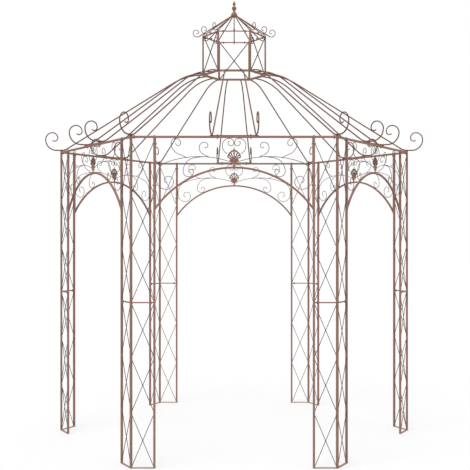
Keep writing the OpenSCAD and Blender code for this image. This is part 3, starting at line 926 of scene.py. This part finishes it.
class PAVILION_OT_roof_ribs(bpy.types.Operator):
    """Build the bent roof ribs with their scrolls, tie bars and lugs"""

    bl_idname = "pavilion.roof_ribs"
    bl_label = "Roof Ribs"

    def execute(self, context):
        s = context.scene.pavilion_sizes
        welds = Shape()
        inward = (s.side - s.ring_side) * HEX - s.tube / 2
        sideways = (PAIR_FOOT - PAIR_TOP) / 2
        yaw = degrees(atan2(inward, sideways))
        bar_top, bar_edge = s.beam_top + s.tie_bar, 0.8 * MM
        for k in SIDES:
            shape, place = Shape(), face_place(k)
            for way in BOTH_WAYS:
                rib_place = place @ way @ shift_by(-PAIR_FOOT / 2, 0, s.beam_top) @ turn_z(yaw)
                add_rib(shape, welds, s, hypot(inward, sideways), 1.5 * MM, rib_place, k * 5)
                for y in (-4 * MM, 4 * MM):
                    seam, seed = (0, y, s.tie_bar + 0.6 * MM), k * 29 + int(y > 0)
                    weld_blob(welds, rib_place, seam, 4.5 * MM, s.tube * 0.8, seed, sides=8, turn=ALONG)
            half = PAIR_FOOT / 2 + 1.5 * s.rib
            shape.block((-half, -s.tube / 2, s.beam_top), (half, s.tube / 2, bar_top), place, bar_edge)
            make_piece(f"roof_ribs_{k}_rods", shape, "Coated Rod", "rod", f"roof_ribs_{k}")

            shape, place = Shape(), corner_place(k)
            rib_place = place @ shift_by(0, 0, s.beam_top) @ turn_z(180)
            add_rib(shape, welds, s, s.side - s.ring_side - s.tube / 2 / HEX, 3 * MM, rib_place, k * 7)
            lug = place @ turn_z(90)
            shape.block((-s.rib, -s.tube / 2, s.beam_top), (s.rib, s.tube / 2, bar_top), lug, bar_edge)
            make_piece(f"corner_rib_{k}_rod", shape, "Coated Rod", "rod", f"corner_rib_{k}")
        make_piece("roof_welds", welds, "Coated Weld", "rod", sharp=60)
        return {"FINISHED"}


# ---------------- lantern


COLLAR_R, COLLAR_OVER = 26 * MM, 6 * MM


def lantern_rib_path(s, reach):
    """Path of a lantern rib, from the eye of its scroll to the finial's collar, with its post at x = 0."""
    run = reach - COLLAR_R - 0.2 * MM
    top = s.peak + COLLAR_OVER - s.lantern_rib * 0.73
    low = s.post_top + s.post / 2 * (top - s.post_top) / run + s.lantern_rib * 0.65
    a = degrees(atan2(top - low, run))
    r = 34 * MM
    outer = walk((0.0, low, -a), [(40 * MM, 0), (r, 90 + a)] + scroll_steps(r * 1.25)[1:], 8.0)
    return other_way(outer) + [(0.0, low, a), (run, top, a)]


class PAVILION_OT_lantern(bpy.types.Operator):
    """Build the lantern's posts, crossed rods and ribs"""

    bl_idname = "pavilion.lantern"
    bl_label = "Lantern"

    def execute(self, context):
        s = context.scene.pavilion_sizes
        posts, braces, ribs, welds = Shape(), Shape(), Shape(), Shape()
        for k in range(6):
            out = turn_z(60 * k)
            post_place = out @ shift_by(s.ring_side, 0, 0)
            upright(posts, post_place, s.post, s.tube_corner * 0.8, s.ring_top, s.post_top, capped=True)
            foot = (s.ring_side - s.post / 2, 0, s.ring_top)
            weld_blob(welds, out, foot, 3.4 * MM, s.post * 0.85, k * 3, sides=8)
        brace = s.lantern_brace
        rod = round_section(brace)
        reach = s.ring_side / 2 - s.post * 0.7
        z0, z1 = s.ring_top, s.eave_top - s.lantern_eave
        middle = (z0 + z1) / 2
        heading = degrees(atan2(z1 - z0, 2 * reach))
        for k, turn in enumerate((60, 180, 300)):
            bay = turn_z(turn) @ shift_by(0, -s.ring_side * HEX, 0)
            for way, ends in ((1, (z0 + 0.5 * MM, z1)), (-1, (z1, z0 + 0.5 * MM))):
                place = bay @ shift_by(0, -way * CROSS_APART * brace, 0)
                near, far = ((x, z, way * heading) for x, z in zip((-reach, reach), ends))
                braces.sweep([slide(near, MM), (0.0, middle, way * heading), slide(far, -MM)], rod, place)
            weld_blob(welds, bay, (0, 0, middle), 1.7 * brace, 1.4 * brace, k + 40)
        rib = round_section(s.lantern_rib, 14)
        for k in range(6):
            for turn, reach in ((60 * k, s.ring_side), (60 * k + 30, s.ring_side * HEX)):
                place = turn_z(turn) @ shift_by(reach, 0, 0) @ turn_z(180)
                path = lantern_rib_path(s, reach)
                ribs.sweep(path, rib, place, slim=drawn_down(path, 0.64, 2.2))
                weld_collar(welds, turned_back(path[-1]), place, s.lantern_rib, turn)
        make_piece("lantern_posts_tubes", posts, "Coated Tube", "frame_tube", "lantern_posts")
        make_piece("lantern_braces_rods", braces, "Dark Steel Rod", "rod", "lantern_braces")
        make_piece("lantern_ribs_rods", ribs, "Coated Rod", "rod", "lantern_ribs")
        make_piece("lantern_welds", welds, "Coated Weld", "rod", sharp=60)
        return {"FINISHED"}


def ball_profile(radius, height, low, high, steps):
    """Part of a slightly flattened ball, in millimetres, between two angles above its middle."""
    angles = np.radians(np.linspace(low, high, steps))
    return [(radius * cos(a), height + radius * 0.96 * sin(a)) for a in angles]


class PAVILION_OT_finial(bpy.types.Operator):
    """Build the turned finial on the lantern's peak"""

    bl_idname = "pavilion.finial"
    bl_label = "Finial"

    def execute(self, context):
        peak = context.scene.pavilion_sizes.peak
        bulb, ball_z, bead_z = 27.0, 69.0, 107.0
        profile = [
            (4.0, -8.0), (20.0, -8.0), (23.4, -7.2), (25.2, -5.4), (25.9, -3.0), (26.1, 2.0), (26.5, 7.0),
            (bulb, 12.0), (26.3, 17.0), (24.2, 21.5), (20.6, 26.5), (16.4, 31.5), (12.8, 36.5), (10.6, 40.5),
            (9.8, 43.0), (9.9, 45.0), (11.6, 46.2), (11.6, 48.0), (9.6, 49.0), (9.4, 50.4),
            *ball_profile(20.5, ball_z, -62, 72, 15),
            *((r, ball_z + z) for r, z in ((5.4, 20.4), (5.3, 22.6), (6.6, 23.4), (6.6, 24.6), (5.4, 25.2))),
            *ball_profile(14.0, bead_z, -58, 62, 12),
            *((r, bead_z + z) for r, z in ((5.2, 13.0), (5.0, 15.5), (4.6, 19.0), (3.8, 23.0), (2.6, 26.6))),
            (0.8, FINIAL_TIP),
        ]
        shape = Shape()
        shape.turned([(r * MM, z * MM) for r, z in profile], shift_by(0, 0, peak), 48)
        screw = shift_by(0, -bulb * MM * 0.985, peak + 12 * MM) @ FACING
        shape.turned([(2.6 * MM, -1 * MM), (2.6 * MM, 0.2 * MM), (2.1 * MM, 0.35 * MM)], screw, 16)
        # the finial's coat is set lighter as painted highlight
        make_piece("finial_turned", shape, "Coated Casting", "casting", "finial", sharp=50)
        return {"FINISHED"}


# places of the bolts: in from the outer upright and the corner, and out from the middle of a side
FROM_UPRIGHT, FROM_CORNER, TIE_BOLT, EAVE_BOLT = 25 * MM, 22 * MM, 121 * MM, 94 * MM
# and those through the end bars, below the top of the beam
END_BOLTS = (58 * MM, 360 * MM)


class PAVILION_OT_bolts(bpy.types.Operator):
    """Build the bolts that hold legs, sides, ribs and lantern together"""

    bl_idname = "pavilion.bolts"
    bl_label = "Bolts"

    def execute(self, context):
        s = context.scene.pavilion_sizes
        half_span, _, _ = arch_sizes(s)
        legs, sides, roof, lantern = Shape(), Shape(), Shape(), Shape()
        leg_joint = shift_by(s.leg_width - FROM_UPRIGHT, 0, s.split + s.joint_bar)
        inwards = Matrix.Rotation(-pi / 2, 4, "Y")
        over_upright = shift_by(half_span + s.end_bar + s.tube / 2, 0, s.beam_top)
        over_leg = shift_by(s.side / 2 - FROM_CORNER, 0, s.beam_top)
        on_tie_bar = shift_by(TIE_BOLT, 0, s.beam_top + s.tie_bar)
        on_eave = shift_by(EAVE_BOLT, 0, s.eave_top)
        for k in SIDES:
            for turn in (-120, 120):
                bolt(legs, corner_place(k) @ turn_z(turn) @ leg_joint, 2 * s.joint_bar)
            for way in BOTH_WAYS:
                place = face_place(k) @ way
                for low in END_BOLTS:
                    in_end_bar = place @ shift_by(half_span, 0, s.beam_top - low) @ inwards
                    bolt(sides, in_end_bar, s.end_bar + s.tube)
                bolt(sides, place @ over_upright, s.tube, nut=False)
                bolt(sides, place @ over_leg, s.tube)
                bolt(roof, place @ on_tie_bar, s.tube + s.tie_bar)
                eave = turn_z(60 * (k - 1)) @ shift_by(0, -s.ring_side * HEX, 0) @ way
                bolt(lantern, eave @ on_eave, s.lantern_eave)
        for name, shape in (("leg", legs), ("side", sides), ("roof", roof), ("lantern", lantern)):
            slot = "rod" if name == "roof" else "frame_tube"
            make_piece(f"{name}_bolts", shape, "Blackened Bolt", slot, sharp=30)
        return {"FINISHED"}


# ---------------- stage


WHITE = (1.0, 1.0, 1.0)
FLOOR_REACH, FLOOR_GREY, FLOOR_GLOW = 60.0, (0.50, 0.50, 0.50), 0.475
# strength of the two softer lamps as a share of the main one's, and how wide the lamps look, in degrees
SOFTER, SPREAD = 0.4, 50


def soft_sun(name, turn, height, strength):
    """A far soft lamp, at this turn round the pavilion from the front and this height, both in degrees."""
    light = bpy.data.lights.new(name, "SUN")
    light.energy, light.angle = strength, radians(SPREAD)
    new_object(name, light).rotation_euler = (radians(90 - height), 0.0, radians(turn))


def seen_directly(tree):
    """1 for camera, glossy and transmission rays, else 0."""
    path = add(tree, "LightPath").outputs
    seen = calc(tree, "MAXIMUM", path["Is Camera Ray"], path["Is Glossy Ray"])
    return calc(tree, "MAXIMUM", seen, path["Is Transmission Ray"])


class PAVILION_OT_stage(bpy.types.Operator):
    """Build the floor, the lamps, the sky and the camera"""

    bl_idname = "pavilion.stage"
    bl_label = "Stage"

    def execute(self, context):
        st = context.scene.pavilion_stage
        world = bpy.data.worlds.new("Pale Studio")
        context.scene.world = world
        world.use_nodes = True
        tree = world.node_tree
        strength = plus(tree, times(tree, seen_directly(tree), 1.0 - st.sky), st.sky)
        feed(tree, tree.nodes["Background"], {"Strength": strength, "Color": WHITE})

        mesh = bpy.data.meshes.new("floor")
        corners = [(x * FLOOR_REACH, y * FLOOR_REACH, 0) for x, y in ((-1, -1), (1, -1), (1, 1), (-1, 1))]
        mesh.from_pydata(corners, [], [(0, 1, 2, 3)])
        floor = new_object("floor", mesh)
        material, tree, shader = new_material("Pale Floor")
        glow = times(tree, seen_directly(tree), FLOOR_GLOW)
        feed(tree, shader, {"Base Color": FLOOR_GREY, "Roughness": 0.9, "Specular IOR Level": 0.0})
        feed(tree, shader, {"Emission Color": WHITE, "Emission Strength": glow})
        mesh.materials.append(material)

        soft_sun("key_lamp", -35, 52, st.lamp)
        soft_sun("fill_lamp", 50, 30, st.lamp * SOFTER)
        soft_sun("back_lamp", 170, 55, st.lamp * SOFTER)

        lens = bpy.data.cameras.new("camera")
        lens.sensor_width, lens.lens = 36.0, st.lens
        lens.shift_x, lens.shift_y = st.shift
        lens.clip_end = 200.0
        camera = new_object("camera", lens)
        camera.location = (0.0, -st.distance, st.eye_height)
        camera.rotation_euler = (pi / 2, 0.0, 0.0)
        context.scene.camera = camera
        context.scene.view_settings.view_transform = "Standard"
        return {"FINISHED"}


class PAVILION_PT_build(bpy.types.Panel):
    """Lists the steps that build the pavilion"""

    bl_idname = "PAVILION_PT_build"
    bl_label = "Garden Pavilion"
    bl_space_type = "VIEW_3D"
    bl_region_type = "UI"
    bl_category = "Pavilion"

    def draw(self, context):
        layout = self.layout
        for step in STEPS:
            layout.operator(step.bl_idname)
        for settings in SETTINGS:
            group, box = getattr(context.scene, settings), layout.box()
            for name in group.__annotations__:
                box.prop(group, name)


STEPS = (
    PAVILION_OT_finishes,
    PAVILION_OT_legs,
    PAVILION_OT_sides,
    PAVILION_OT_scrollwork,
    PAVILION_OT_shells,
    PAVILION_OT_roof_ribs,
    PAVILION_OT_lantern,
    PAVILION_OT_finial,
    PAVILION_OT_bolts,
    PAVILION_OT_stage,
)
SETTINGS = {
    "pavilion_sizes": PavilionSizes,
    "pavilion_finish": PavilionFinish,
    "pavilion_stage": PavilionStage,
}
CLASSES = (*SETTINGS.values(), *STEPS, PAVILION_PT_build)


def register():
    for cls in CLASSES:
        bpy.utils.register_class(cls)
    for name, group in SETTINGS.items():
        setattr(bpy.types.Scene, name, PointerProperty(type=group))


def unregister():
    for name in SETTINGS:
        delattr(bpy.types.Scene, name)
    for cls in reversed(CLASSES):
        bpy.utils.unregister_class(cls)


def main():
    register()
    for step in STEPS:
        area, name = step.bl_idname.split(".")
        getattr(getattr(bpy.ops, area), name)()


if __name__ == "__main__":
    main()
